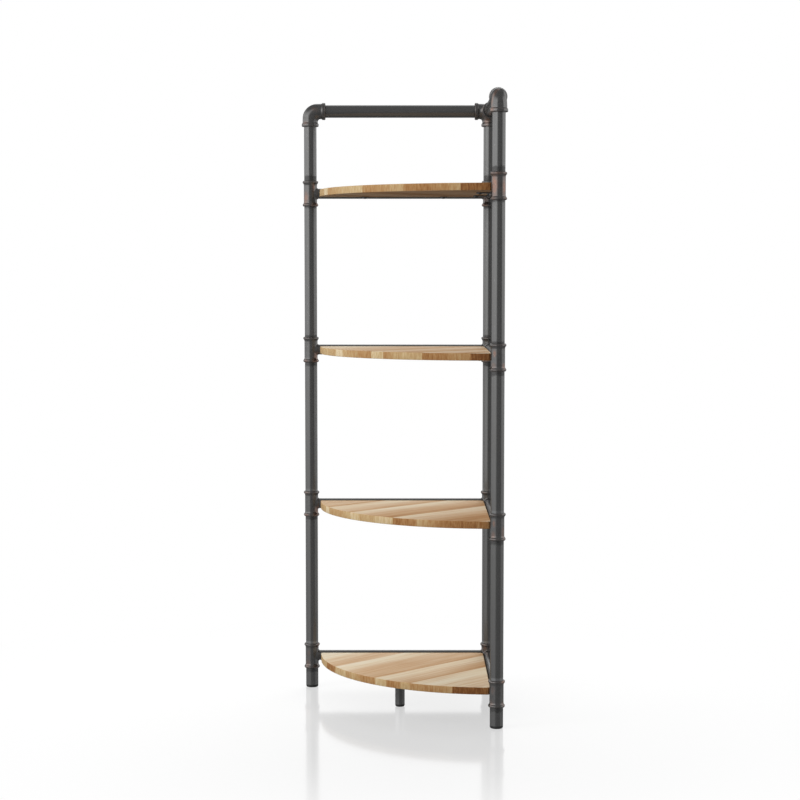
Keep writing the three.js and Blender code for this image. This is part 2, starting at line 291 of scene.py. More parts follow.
def straight_pipe(node):
    """A pipe or a top rail, along the longest side of its node."""
    low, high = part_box(node)
    size = high - low
    way = max(range(3), key=lambda axis: size[axis])
    reach = size[way] / 2
    radius = min(size) / 2
    below, above, painted_highlight = stains[node.split("_", 1)[1]]
    # An edge goes round wherever a stain or the painted highlight ring starts or ends.
    heights = [
        pipe_chamfer, max(below, 2 * pipe_chamfer), highlight_ring_length, highlight_ring_length + highlight_ring_fade,
        below + stain_fade, size[way] - above - stain_fade, size[way] - above, size[way] - pipe_chamfer,
    ]
    outline = [
        (radius - pipe_wall, -reach),
        (radius - pipe_chamfer, -reach),
        *[(radius, height - reach) for height in sorted(set(heights))],
        (radius - pipe_chamfer, reach),
        (radius - pipe_wall, reach),
    ]
    body = turned(outline, closed=True)
    stain = body.verts.layers.float.new("stain")
    ring = body.verts.layers.float.new("ring")
    for vert in body.verts:
        height = vert.co.z + reach
        past_lower = below - height if below else -reach
        past_upper = height - size[way] + above
        vert[stain] = min(1, max(0, max(past_lower, past_upper) / stain_fade + 1))
        # The pale ring over the fitting below is a painted highlight.
        vert[ring] = painted_highlight if height <= highlight_ring_length + pipe_chamfer else 0
    direction = [0, 0, 0]
    direction[way] = 1
    body.transform(Matrix.Translation((low + high) / 2) @ pointing(direction))
    piece(f"{node}_tube", body, lacquers[way], [node])


for post in ("left", "corner", "right"):
    for part in ("foot_pipe", "pipe_1", "pipe_2", "pipe_3", "top_pipe"):
        straight_pipe(f"{post}_{part}")
for wall in ("back", "side"):
    straight_pipe(f"{wall}_top_rail")


# Tees on the posts.
# Iron castings with a round bead at each mouth and a short boss for each shelf rail. The sockets
# are bored. The dark finish is rubbed back to a coppery brown on what stands proud.
tee_half_length = 33 * mm
tee_socket_depth = 9 * mm
tee_radius = 17 * mm
tee_bead_width = 7.5 * mm
tee_bead_height = 3.2 * mm
tee_bead_foot = 0.8 * mm  # height of a bead's two edges
tee_bead_slope = 3.6 * mm
tee_bead_steps = 10
post_socket_radius = 16.3 * mm
passage_radius = 14 * mm
rail_socket_radius = 13.3 * mm
rail_socket_floor = 14.8 * mm
rail_boss_reach = 19.3 * mm
rail_boss_radius = 14.1 * mm
rail_boss_flare = 0.4 * mm
mouth_chamfer = 0.3 * mm
overrun = 4 * mm  # how far a drill or a cutter runs past what it cuts
cast_grain = 0.9 * mm  # size of the faces of a casting
cast_smoothing = 1


def joined(bodies):
    """Several bodies as one, though they still overlap."""
    whole = bmesh.new()
    for body in bodies:
        mesh = mesh_of("part", body)
        whole.from_mesh(mesh)
        bpy.data.meshes.remove(mesh)
    return whole


def held(body):
    """A body as an object that modifiers can work on."""
    return placed("work", mesh_of("work", body))


def worked(work, *others):
    """The body that an object's modifiers make. The object is then let go, and the others with it."""
    bpy.context.view_layer.update()
    body = bmesh.new()
    body.from_object(work, bpy.context.evaluated_depsgraph_get())
    for used in (work, *others):
        mesh = used.data
        bpy.data.objects.remove(used)
        bpy.data.meshes.remove(mesh)
    return body


def cast(bodies):
    """Overlapping bodies as one casting with soft inner corners."""
    work = held(joined(bodies))
    melt = work.modifiers.new("melt", "REMESH")
    melt.mode = "VOXEL"
    melt.voxel_size = cast_grain
    soften = work.modifiers.new("soften", "SMOOTH")
    soften.iterations = cast_smoothing
    return worked(work)


def combined(body, others, operation):
    work = held(body)
    tool = held(joined(others))
    boolean = work.modifiers.new("combined", "BOOLEAN")
    boolean.operation = operation
    boolean.solver = "EXACT"
    boolean.object = tool
    return worked(work, tool)


def cut(body, cutters):
    return combined(body, cutters, "DIFFERENCE")


def bead(height):
    """Outline of the bead at a mouth, from its lower to its upper edge."""
    half = tee_bead_width / 2
    rise = tee_bead_height - tee_bead_foot
    radius = (half**2 + rise**2) / (2 * rise)
    centre = tee_radius + tee_bead_height - radius
    spread = math.asin(half / radius)
    turns = [spread * (2 * step / tee_bead_steps - 1) for step in range(tee_bead_steps + 1)]
    return [(centre + radius * math.cos(turn), height + radius * math.sin(turn)) for turn in turns]


def socket(radius, floor, mouth):
    """What a drill takes out for a pipe, with a small chamfer at the mouth."""
    return turned(
        [
            (radius, floor),
            (radius, mouth - mouth_chamfer),
            (radius + mouth_chamfer + overrun, mouth + overrun),
        ]
    )


def tee(headings):
    """A tee with a boss for each heading, an angle from +X. Its axes cross at the origin."""
    bead_place = tee_half_length - tee_bead_width / 2
    slope_end = tee_half_length - tee_bead_width - tee_bead_slope
    outside = [
        *bead(-bead_place),
        (tee_radius, -slope_end),
        (tee_radius, slope_end),
        *bead(bead_place),
    ]
    boss = [(rail_boss_radius + rail_boss_flare, 0), (rail_boss_radius, rail_boss_reach)]
    seat = tee_half_length - tee_socket_depth
    turns = [pointing((math.cos(heading), math.sin(heading), 0)) for heading in headings]
    bosses = [turned(boss) for _ in turns]
    holes = [socket(rail_socket_radius, rail_socket_floor, rail_boss_reach) for _ in turns]
    for turn, body, hole in zip(turns, bosses, holes):
        body.transform(turn)
        hole.transform(turn)
    ends = [socket(post_socket_radius, seat, tee_half_length) for _ in range(2)]
    ends[1].transform(pointing((0, 0, -1)))
    body = cut(cast([turned(outside), *bosses]), [*ends, *holes])
    return cut(body, [turned([(passage_radius, -seat - overrun), (passage_radius, seat + overrun)])])


# Finish rubbed through on edges and at the spots that a casting is marked with.
rubbing, given, result = shared_effect(
    "rubbed_through",
    {
        "Color": "NodeSocketColor",
        "Rubbed Color": "NodeSocketColor",
        "Edges": "NodeSocketFloat",
        "Spots": "NodeSocketFloat",
        "Patch Scale": "NodeSocketFloat",
    },
    {"Color": "NodeSocketColor"},
)
pointiness = add(rubbing, "ShaderNodeNewGeometry").outputs["Pointiness"]
edges = ramp(rubbing, pointiness, [(0.505, 0.0), (0.56, 1.0)])
place = add(rubbing, "ShaderNodeTexCoord").outputs["Object"]
loose = noise(rubbing, place, given["Patch Scale"], 6.0, 0.65)
spots = add(rubbing, "ShaderNodeAttribute", attribute_name="wear").outputs["Fac"]
spotted = computed(rubbing, "MULTIPLY", spots, ramp(rubbing, loose, [(0.36, 0.25), (0.56, 1.0)]))
worn_edges = computed(rubbing, "MULTIPLY", edges, given["Edges"])
broken = computed(rubbing, "MULTIPLY", worn_edges, ramp(rubbing, loose, [(0.38, 0.15), (0.58, 1.0)]))
total = computed(rubbing, "MULTIPLY_ADD", spotted, given["Spots"], broken, clamp=True)
colored = overlaid(rubbing, given["Color"], given["Rubbed Color"], total)
rubbing.links.new(colored, result["Color"])

iron, tree, shader = new_finish("rubbed_cast_iron", {"Metallic": 0.9})
found = use_marks(
    tree,
    color=(0.24, 0.238, 0.236, 1),
    marked_color=(0.14, 0.138, 0.136, 1),
    roughness=0.15,
    roughness_change=0.1,
    amount=0.42,
    scale=110.0,
    stretch=(1, 1, 1),
)
coppery = {
    "Rubbed Color": (0.47, 0.275, 0.205, 1), "Edges": 0.4, "Spots": 0.85, "Patch Scale": 60.0,
}
rubbed = add(
    tree, "ShaderNodeGroup", {"Color": found["Color"], **coppery}, node_tree=rubbing
).outputs["Color"]
surfaced(tree, shader, rubbed, found["Roughness"], found["Height"], distance=0.15 * mm)

# Where each tee is rubbed: degrees from the front to the right, height, half width and half height
# of the spot in mm, and how far it is rubbed.
rubbed_spots = {
    "left_tee_4": [(-48, -12, 9, 16, 0.8), (28, 15, 4, 11, 0.9), (44, -29, 10, 6, 1.0)],
    "left_tee_3": [(52, -16, 8, 12, 0.8), (-45, -29, 8, 4, 0.7), (42, -29, 9, 5, 0.9)],
    "left_tee_2": [
        (52, -16, 8, 12, 0.8), (-50, -29, 8, 4, 0.8), (-50, 29, 8, 4, 0.5), (42, -29, 9, 5, 0.7),
    ],
    "left_tee_1": [
        (-45, -20, 9, 12, 0.4), (60, 26, 6, 6, 0.5), (-30, 8, 5, 8, 0.3), (40, -27, 9, 6, 0.3),
    ],
    "corner_tee_4": [(-40, -14, 8, 8, 0.4), (-52, -29, 9, 5, 1.0)],
    "corner_tee_3": [(-45, -26, 9, 9, 0.5)],
    "corner_tee_2": [(-50, 29, 6, 4, 0.3), (-50, -20, 9, 9, 0.4)],
    "corner_tee_1": [(-45, 22, 10, 10, 0.5), (30, 20, 8, 8, 0.4)],
    "right_tee_4": [(-42, 2, 9, 30, 1.0), (58, -2, 8, 28, 0.9), (0, 29, 20, 4, 0.5)],
    "right_tee_3": [(-32, 10, 4, 8, 0.9), (-44, -20, 7, 8, 0.35), (58, -20, 7, 8, 0.6)],
    "right_tee_2": [(-32, 8, 4, 8, 0.8), (-40, -19, 6, 9, 0.5), (60, -14, 7, 14, 0.6)],
    "right_tee_1": [
        (-36, 10, 5, 9, 0.4), (-48, -22, 7, 8, 0.4), (60, -24, 7, 8, 0.35), (55, 29, 8, 4, 0.6),
    ],
}


def rub(body, spots):
    """Marks the spots where a casting is rubbed. Its axes cross at the origin."""
    wear = body.verts.layers.float.new("wear")
    for vert in body.verts:
        most = 0
        for degrees, height, half_width, half_height, share in spots:
            turn = math.radians(degrees)
            across = vert.co.x * math.cos(turn) + vert.co.y * math.sin(turn)
            facing = vert.co.x * math.sin(turn) - vert.co.y * math.cos(turn)
            if facing >= 0:
                far = (across / (half_width * mm)) ** 2
                far += ((vert.co.z - height * mm) / (half_height * mm)) ** 2
                most = max(most, share * math.exp(-(far**1.5)))
        vert[wear] = most


boss_headings = {"left": [0], "corner": [math.pi, 1.5 * math.pi], "right": [math.pi / 2]}
shelves = range(1, 5)  # from the lowest up
for post, headings in boss_headings.items():
    casting = tee(headings)
    for shelf in shelves:
        node = f"{post}_tee_{shelf}"
        low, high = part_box(node)
        body = casting.copy()
        rub(body, rubbed_spots[node])
        body.transform(Matrix.Translation((low + high) / 2))
        piece(f"{node}_casting", body, iron, [node])
    casting.free()


# Elbows at the top.
# Iron castings like the tees: a round bend with a raised band at each mouth. The corner's elbow
# takes three pipes, and its bends run into one another over a domed shoulder.
elbow_radius = 18.7 * mm
elbow_flare = 0.8 * mm
inner_bend_radius = 9.8 * mm
outer_bend_radius = 35 * mm
elbow_socket_depth = 18 * mm
band_width = 9.6 * mm
band_height = 3.05 * mm
band_slope = 2.2 * mm
band_chamfer = 1.2 * mm
band_gap = 1 * mm
bend_steps = 24


def outer_reach(turn, bend_centre):
    """From the centre of the inner bend to the outside of an elbow."""
    full = bend_centre + elbow_radius
    radius = min(outer_bend_radius, full)
    shift = full - radius
    if math.tan(turn) * full <= shift:
        return full / math.cos(turn)
    if full <= shift * math.tan(turn):
        return full / math.sin(turn)
    along = shift * (math.cos(turn) + math.sin(turn))
    return along + math.sqrt(along**2 - 2 * shift**2 + radius**2)


def oval(centre, across, sideways):
    """A ring of points, from its centre and the two halves of its axes."""
    turns = [2 * math.pi * side / pipe_sides for side in range(pipe_sides)]
    return [centre + across * math.cos(turn) + sideways * math.sin(turn) for turn in turns]


def bend(first, second):
    """Outside of an elbow from one arm to the other."""
    bend_centre = elbow_radius + inner_bend_radius
    reach = bend_centre + band_gap + band_width
    proud = elbow_radius + band_height
    sideways = first.cross(second)
    band = [
        (reach, proud - band_chamfer),
        (reach - band_chamfer, proud),
        (reach - band_width + band_slope, proud),
        (reach - band_width, elbow_radius + elbow_flare),
    ]
    rings = [oval(first * far, second * -radius, sideways * radius) for far, radius in band]
    centre = (first + second) * bend_centre
    for step in range(bend_steps + 1):
        turn = math.pi / 2 * step / bend_steps
        outward = -second * math.cos(turn) - first * math.sin(turn)
        flare = elbow_flare * math.cos(2 * turn) ** 2
        inner = inner_bend_radius - flare
        outer = outer_reach(turn, bend_centre) + flare
        middle = centre + outward * (inner + outer) / 2
        across = outward * (outer - inner) / 2
        rings.append(oval(middle, across, sideways * (elbow_radius + flare)))
    for far, radius in reversed(band):
        rings.append(oval(second * far, first * -radius, sideways * radius))
    return lofted(rings)


def elbow(arms):
    """An elbow with an arm in each direction. Its arms cross at the origin."""
    reach = elbow_radius + inner_bend_radius + band_gap + band_width
    floor = reach - elbow_socket_depth
    pairs = [(first, second) for place, first in enumerate(arms) for second in arms[place + 1 :]]
    holes = [socket(post_socket_radius, floor, reach) for _ in arms]
    for hole, arm in zip(holes, arms):
        hole.transform(pointing(arm))
    return cut(cast([bend(first, second) for first, second in pairs]), holes)


# Where each elbow is rubbed, listed as for the tees.
rubbed_spots.update(
    left_elbow=[(35, 4, 6, 6, 0.4), (-40, -30, 9, 4, 0.4)],
    corner_elbow=[(-26, -27, 9, 11, 0.5), (-40, 0, 3, 13, 0.8)],
    right_elbow=[(-56, 6, 5, 11, 0.8), (-66, -13, 5, 14, 0.7), (-60, -33, 9, 6, 0.8)],
)
down = Vector((0, 0, -1))
elbow_arms = {
    "left": [down, Vector((1, 0, 0))],
    "corner": [down, Vector((-1, 0, 0)), Vector((0, -1, 0))],
    "right": [down, Vector((0, 1, 0))],
}
for post, arms in elbow_arms.items():
    low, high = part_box(f"{post}_top_pipe")
    rail_low, rail_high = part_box("back_top_rail")
    centre = (low + high) / 2
    centre.z = (rail_low.z + rail_high.z) / 2
    body = elbow(arms)
    rub(body, rubbed_spots[f"{post}_elbow"])
    body.transform(Matrix.Translation(centre))
    piece(f"{post}_elbow_casting", body, iron, [f"{post}_elbow"])


# Shelf rails.
# Thinner steel tube in the same lacquer. Two flat tabs are welded under each and reach below the
# board, with a hole near the rounded tip for a screw that goes up into the wood.
rail_radius = 13 * mm
tab_thickness = 3 * mm
tab_width = 18 * mm
tab_reach = 47 * mm
tab_corner_distance = 120 * mm
tab_pitch = 201 * mm
tab_top = -9.3 * mm  # below the rail's axis
tab_edge = 0.4 * mm
tab_tip_steps = 16
screw_hole_radius = 2.5 * mm
screw_hole_sides = 24
weld_near = 1 * mm  # the two ends of a weld, out from the rail's axis
weld_far = 10.5 * mm
weld_radius = 1.8 * mm
weld_tip = 0.35  # share of the radius at either end
weld_dip = 0.86  # share of the radius between two ripples
weld_ripples = 7
weld_sides = 12
post_low, post_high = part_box("corner_foot_pipe")
# From the axis of the corner post to the end of a rail.
rail_gap = (post_low.x + post_high.x) / 2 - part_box("back_rail_1")[1].x


def inset(outline, distance):
    """An outline in plan, moved inwards at every point. The outline runs counter-clockwise."""
    moved = []
    for place, point in enumerate(outline):
        before = (point - outline[place - 1]).normalized()
        after = (outline[(place + 1) % len(outline)] - point).normalized()
        inward = Vector((-before.y - after.y, before.x + after.x)).normalized()
        # At a sharp corner the point moves twice the distance at most.
        straightness = max(0.5, inward.dot(Vector((-after.y, after.x))))
        moved.append(point + inward * distance / straightness)
    return moved


def slab(outline, bottom, thickness, edge, edge_steps=1):
    """A flat piece with rounded edges."""
    rings = []
    for rim, rise in ((bottom, 1), (bottom + thickness, -1)):
        side = []
        for step in range(edge_steps + 1):
            turn = math.pi / 2 * step / edge_steps
            height = rim + rise * edge * (1 - math.sin(turn))
            flat = inset(outline, edge * (1 - math.cos(turn)))
            side.append([Vector((point.x, point.y, height)) for point in flat])
        rings += side[::-1] if rise > 0 else side
    return lofted(rings)


def weld(start, end):
    """A weld bead with its ripples."""
    rings = []
    for step in range(2 * weld_ripples + 1):
        share = step / (2 * weld_ripples)
        swell = 1 if step % 2 else weld_dip
        radius = weld_radius * swell * (weld_tip + (1 - weld_tip) * math.sin(math.pi * share) ** 0.4)
        rings.append(circle(radius, share * (end - start).length, weld_sides))
    body = lofted(rings)
    body.transform(Matrix.Translation(start) @ pointing(end - start))
    return body


def screw_hole(bottom, top):
    outline = [(screw_hole_radius, bottom - overrun), (screw_hole_radius, top + overrun)]
    return turned(outline, screw_hole_sides)


def fused(body, others):
    return combined(body, others, "UNION")


def shelf_rail(length, side):
    """A rail along X from the corner post's end, its tabs towards +Y or -Y."""
    body = turned([(rail_radius, 0), (rail_radius, length)])
    body.transform(pointing((1, 0, 0)))
    parts, holes = [], []
    for tab in range(2):
        place = tab_corner_distance + tab * tab_pitch - rail_gap
        outline = [Vector((place - tab_width / 2, 0)), Vector((place + tab_width / 2, 0))]
        for step in range(tab_tip_steps + 1):
            turn = math.pi * step / tab_tip_steps
            across = place + tab_width / 2 * math.cos(turn)
            outline.append(Vector((across, tab_reach - tab_width / 2 * (1 - math.sin(turn)))))
        plate = slab(outline, tab_top - tab_thickness, tab_thickness, tab_edge)
        if side < 0:
            plate.transform(Matrix.Scale(-1, 4, (0, 1, 0)))
            bmesh.ops.reverse_faces(plate, faces=plate.faces)
        parts.append(plate)
        for edge in (-1, 1):
            across = place + edge * tab_width / 2
            height = tab_top - tab_thickness / 2
            ends = [Vector((across, side * far, height)) for far in (weld_near, weld_far)]
            parts.append(weld(*ends))
        hole = screw_hole(tab_top - tab_thickness, tab_top)
        hole.transform(Matrix.Translation((place, side * (tab_reach - tab_width / 2), 0)))
        holes.append(hole)
    for part in parts:
        body = fused(body, [part])
    bore = turned([(rail_radius - pipe_wall, -overrun), (rail_radius - pipe_wall, length + overrun)])
    bore.transform(pointing((1, 0, 0)))
    return cut(body, [bore, *holes])


# Each wall's rails: their axis, their turn from X, and the side that the tabs reach to.
for wall, way, turn, side in (("back", 0, math.pi, 1), ("side", 1, -math.pi / 2, -1)):
    low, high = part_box(f"{wall}_rail_1")
    size = high - low
    rail = shelf_rail(max(size), side)
    for shelf in shelves:
        node = f"{wall}_rail_{shelf}"
        low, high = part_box(node)
        start = high.copy()
        start.z = (low.z + high.z) / 2
        start[1 - way] -= rail_radius
        body = rail.copy()
        body.transform(Matrix.Translation(start) @ Matrix.Rotation(turn, 4, "Z"))
        piece(f"{node}_welded", body, lacquers[way], [node])
    rail.free()


# Boards.
# Quarter rounds sawn from an oiled panel of solid strips, which are glued edge to edge and run from
# the corner to the front. Sapwood and heartwood alternate, and the sawn front edge is darker.
board_edge = 1.2 * mm
board_edge_steps = 3
board_arc_steps = 96
board_corner_radius = 6.5 * mm
board_corner_steps = 8
board_arc_inset = 2.6 * mm  # centre of the front arc, in from the axes of both walls' rails
board_notch_steps = 12
notch_radius = 24.2 * mm


def arc(centre, radius, start, end, steps):
    turns = [start + (end - start) * step / steps for step in range(steps + 1)]
    return [centre + radius * Vector((math.cos(turn), math.sin(turn))) for turn in turns]


def board_outline(low, high, corner, centre):
    """A board in plan, from the axis of the corner post and the centre of the front arc."""
    edge = corner.x - high.x
    reach = centre.x - low.x
    round_in = edge + board_corner_radius - board_arc_inset
    round_reach = reach - board_corner_radius
    turn = math.asin(round_in / round_reach)
    left = centre + round_reach * Vector((-math.cos(turn), -math.sin(turn)))
    right = centre + round_reach * Vector((-math.sin(turn), -math.cos(turn)))
    front = arc(centre, reach, math.pi + turn, 1.5 * math.pi - turn, board_arc_steps)
    notch_turn = math.asin(edge / notch_radius)
    return [
        *arc(left, board_corner_radius, math.pi / 2, math.pi + turn, board_corner_steps),
        *front[1:-1],
        *arc(right, board_corner_radius, 1.5 * math.pi - turn, 2 * math.pi, board_corner_steps),
        *arc(
            corner, notch_radius, 1.5 * math.pi - notch_turn, math.pi + notch_turn,
            board_notch_steps,
        ),
    ]


# How much heartwood the faces show, as (share of the front arc, share of heartwood) from the left
# end to the right end. Two entries at one share are the two sides of a glue line.
heartwood_shares = {
    1: [
        (0.0, 0.16), (0.16, 0.18), (0.192, 0.38), (0.285, 0.56),
        (0.285, 0.12), (0.33, 0.16), (0.38, 0.38), (0.43, 0.52), (0.48, 0.60), (0.538, 0.72),
        (0.538, 0.22), (0.58, 0.26), (0.62, 0.50), (0.66, 0.68), (0.692, 0.82),
        (0.692, 0.28), (0.74, 0.20), (0.85, 0.30), (0.93, 0.44), (1.0, 0.32),
    ],
    2: [
        (0.0, 0.60), (0.10, 0.50), (0.18, 0.56), (0.231, 0.74),
        (0.231, 0.20), (0.30, 0.26), (0.34, 0.45), (0.38, 0.70), (0.404, 0.76),
        (0.404, 0.26), (0.45, 0.30), (0.49, 0.56), (0.55, 0.72), (0.60, 0.84), (0.619, 0.92),
        (0.619, 0.24), (0.69, 0.30), (0.74, 0.60), (0.80, 0.84), (0.92, 0.90), (0.96, 0.60), (1.0, 0.46),
    ],
    3: [
        (0.0, 0.46), (0.10, 0.20), (0.22, 0.26), (0.296, 0.50), (0.354, 0.66),
        (0.354, 0.40), (0.519, 0.74),
        (0.519, 0.30), (0.60, 0.50), (0.66, 0.70), (0.735, 0.82),
        (0.735, 0.28), (0.80, 0.50), (0.87, 0.72), (0.908, 0.80), (0.908, 0.18), (1.0, 0.26),
    ],
    4: [
        (0.0, 0.40), (0.223, 0.62), (0.223, 0.72), (0.296, 0.76),
        (0.296, 0.46), (0.477, 0.66), (0.477, 0.76), (0.662, 0.60),
        (0.662, 0.50), (0.873, 0.72), (0.873, 0.62), (1.0, 0.80),
    ],
}
# How dark the sawn front edge is, listed in the same way.
sawn_shares = {
    1: [
        (0.0, 0.44), (0.192, 0.36), (0.192, 0.82), (0.285, 0.68),
        (0.285, 0.30), (0.369, 0.34), (0.369, 0.56), (0.41, 0.42), (0.462, 0.54),
        (0.462, 0.66), (0.538, 0.62), (0.538, 0.26), (0.588, 0.32),
        (0.588, 0.72), (0.650, 0.62), (0.650, 0.34), (0.692, 0.46),
        (0.692, 0.56), (0.77, 0.62), (0.850, 0.50), (0.850, 1.0), (0.93, 0.96), (1.0, 0.80),
    ],
    2: [
        (0.0, 0.52), (0.185, 0.38), (0.185, 0.10), (0.231, 0.14),
        (0.231, 0.46), (0.33, 0.50), (0.404, 0.36), (0.404, 0.18), (0.459, 0.28),
        (0.459, 0.50), (0.49, 0.34), (0.538, 0.44), (0.538, 0.26), (0.619, 0.24),
        (0.619, 0.76), (0.68, 0.72), (0.715, 0.62), (0.715, 0.40), (0.796, 0.66),
        (0.796, 0.74), (0.90, 0.80), (1.0, 0.68),
    ],
    3: [
        (0.0, 0.48), (0.20, 0.34), (0.296, 0.44), (0.296, 0.08), (0.354, 0.14),
        (0.354, 0.42), (0.519, 0.64), (0.519, 0.20), (0.577, 0.30),
        (0.577, 0.64), (0.62, 0.44), (0.735, 0.34), (0.735, 0.78), (0.835, 0.68),
        (0.835, 0.58), (0.908, 0.56), (0.908, 0.92), (1.0, 0.98),
    ],
    4: [
        (0.0, 0.44), (0.173, 0.38), (0.173, 0.10), (0.223, 0.16),
        (0.223, 0.56), (0.296, 0.46), (0.296, 0.44), (0.37, 0.36), (0.477, 0.28),
        (0.477, 0.61), (0.58, 0.52), (0.662, 0.38), (0.662, 0.66), (0.74, 0.74),
        (0.82, 0.57), (0.873, 0.40), (0.873, 0.86), (1.0, 0.90),
    ],
}
glue_line = 0.0006  # share of the board's width across the strips
# From sapwood to heartwood, and from the palest to the darkest of the sawn edge.
face_colors = [
    (0.0, (0.68, 0.62, 0.50)),
    (0.22, (0.645, 0.54, 0.385)),
    (0.5, (0.555, 0.40, 0.258)),
    (0.78, (0.465, 0.285, 0.148)),
    (1.0, (0.37, 0.19, 0.075)),
]
sawn_colors = [
    (0.0, (0.75, 0.62, 0.42)),
    (0.3, (0.575, 0.418, 0.22)),
    (0.6, (0.445, 0.25, 0.107)),
    (0.8, (0.34, 0.16, 0.058)),
    (1.0, (0.20, 0.08, 0.027)),
]
# A painted reflection: the pipes mirror the wood in a dimmer colour than it has.
painted_reflection_color = (0.15, 0.14, 0.128, 1)  # how dim the wood looks in the pipes
painted_reflection_share = 0.8


def over_arc(stops):
    """Stops along the front arc as stops across the strips."""
    moved = []
    before = None
    for at, value in stops:
        place = 0.5 + math.sin(math.radians(90 * at - 45)) / math.sqrt(2)
        moved.append((place + (glue_line if at == before else 0), value))
        before = at
    return moved


def board_finish(shelf, centre, reach):
    """The strips of one board, whose front arc has this centre and this radius."""
    finish, tree, shader = new_finish(
        f"oiled_strips_{shelf}", {"IOR": 1.45, "Specular IOR Level": 0.06}
    )
    place = add(tree, "ShaderNodeTexCoord").outputs["Object"]
    middle = (centre.x, centre.y, 0)
    # X runs across the strips and Y along them.
    turned_place = add(
        tree, "ShaderNodeVectorRotate", {"Vector": place, "Center": middle, "Angle": math.pi / 4},
        rotation_type="Z_AXIS",
    ).outputs[0]
    from_centre = add(
        tree, "ShaderNodeVectorMath", {0: turned_place, 1: middle}, operation="SUBTRACT"
    ).outputs[0]
    across = add(tree, "ShaderNodeSeparateXYZ", {0: from_centre}).outputs["X"]
    share = computed(tree, "MULTIPLY_ADD", across, 1 / (math.sqrt(2) * reach), 0.5)
    heart = ramp(tree, share, over_arc(heartwood_shares[shelf]))
    sawn = ramp(tree, share, over_arc(sawn_shares[shelf]))

    def streaks(scales, detail):
        return noise(tree, stretched(tree, from_centre, scales), 1.0, detail, 0.55)

    # Broad streaks and grain along the strips, each lighter and darker about its middle.
    broad = computed(tree, "MULTIPLY_ADD", streaks((28, 2.2, 28), 4.0), 0.7, -0.31)
    grain = computed(tree, "MULTIPLY_ADD", streaks((150, 5, 150), 5.0), 0.9, -0.45)
    toned = computed(tree, "ADD", heart, computed(tree, "ADD", broad, grain), clamp=True)
    face = ramp(tree, toned, face_colors)
    # Fine upright lines on the sawn edge.
    lines = computed(tree, "MULTIPLY_ADD", streaks((260, 260, 60), 4.0), 0.85, -0.425)
    edge = ramp(tree, computed(tree, "ADD", sawn, lines, clamp=True), sawn_colors)
    normal = add(tree, "ShaderNodeNewGeometry").outputs["Normal"]
    upward = add(tree, "ShaderNodeSeparateXYZ", {0: normal}).outputs["Z"]
    flat = ramp(tree, computed(tree, "ABSOLUTE", upward), [(0.3, 0.0), (0.8, 1.0)])
    wood = overlaid(tree, edge, face, flat)
    # The wood's colour is painted darker where the pipes mirror it.
    mirrored = add(tree, "ShaderNodeLightPath").outputs["Is Glossy Ray"]
    colored = overlaid(tree, wood, painted_reflection_color, computed(tree, "MULTIPLY", mirrored, painted_reflection_share))
    pores = streaks((1500, 60, 1500), 2.0)
    rougher = computed(tree, "MULTIPLY_ADD", pores, 0.16, 0.48)
    surfaced(tree, shader, colored, rougher, pores, distance=0.12 * mm, strength=0.4)
    return finish


corner = ((post_low + post_high) / 2).to_2d()
arc_centre = corner - Vector((board_arc_inset, board_arc_inset))
for shelf in shelves:
    low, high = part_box(f"board_{shelf}")
    outline = board_outline(low, high, corner, arc_centre)
    body = slab(outline, low.z, high.z - low.z, board_edge, board_edge_steps)
    finish = board_finish(shelf, arc_centre, arc_centre.x - low.x)
    piece(f"board_{shelf}_wood", body, finish, [f"board_{shelf}"])


# Centre leg.
# A short steel tube in the same lacquer, welded all round to a round plate. Three screws hold the
# plate under the middle of the lowest board.
leg_radius = 12 * mm
leg_plate_radius = 30 * mm
leg_screw_ring = 21 * mm
leg_screw_count = 3
plate_thickness = 3 * mm

low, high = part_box("centre_leg")
middle = Vector(((low.x + high.x) / 2, (low.y + high.y) / 2, 0))
plate_bottom = high.z - plate_thickness
plate = turned(
    [
        (leg_plate_radius - tab_edge, plate_bottom),
        (leg_plate_radius, plate_bottom + tab_edge),
        (leg_plate_radius, high.z - tab_edge),
        (leg_plate_radius - tab_edge, high.z),
    ]
)
# The stem widens into its weld.
stem = turned(
    [
        (leg_radius, low.z),
        (leg_radius, plate_bottom - weld_radius),
        (leg_radius + weld_radius / 3, plate_bottom - weld_radius / 3),
        (leg_radius + weld_radius, plate_bottom + plate_thickness / 2),
    ]
)
holes = [turned([(leg_radius - pipe_wall, low.z - overrun), (leg_radius - pipe_wall, plate_bottom)])]
leg_screw_spots = []
for screw in range(leg_screw_count):
    turn = 2 * math.pi * screw / leg_screw_count
    spot = Vector((leg_screw_ring * math.cos(turn), leg_screw_ring * math.sin(turn), 0))
    hole = screw_hole(plate_bottom, high.z)
    hole.transform(Matrix.Translation(spot))
    holes.append(hole)
    leg_screw_spots.append(middle + spot + Vector((0, 0, plate_bottom)))
body = cut(fused(plate, [stem]), holes)
body.transform(Matrix.Translation(middle))
piece("centre_leg_welded", body, lacquers[2], ["centre_leg"])


# Screws.
# Black zinc-plated steel with a pan head and a cross recess. Each is driven up into a board,
# through the hole in a tab or in the leg's plate.
screw_head_radius = 4.3 * mm
screw_head_height = 2.4 * mm
screw_shank_radius = 1.9 * mm
screw_length = 14 * mm
screw_crown_radius = 0.3 * mm
screw_point_radius = 0.2 * mm
screw_rim = 0.25  # share of the head's height that stands upright
screw_sides = 32
recess_width = 1 * mm
recess_reach = 2.4 * mm
recess_depth = 1.3 * mm
screw_dome_steps = 6


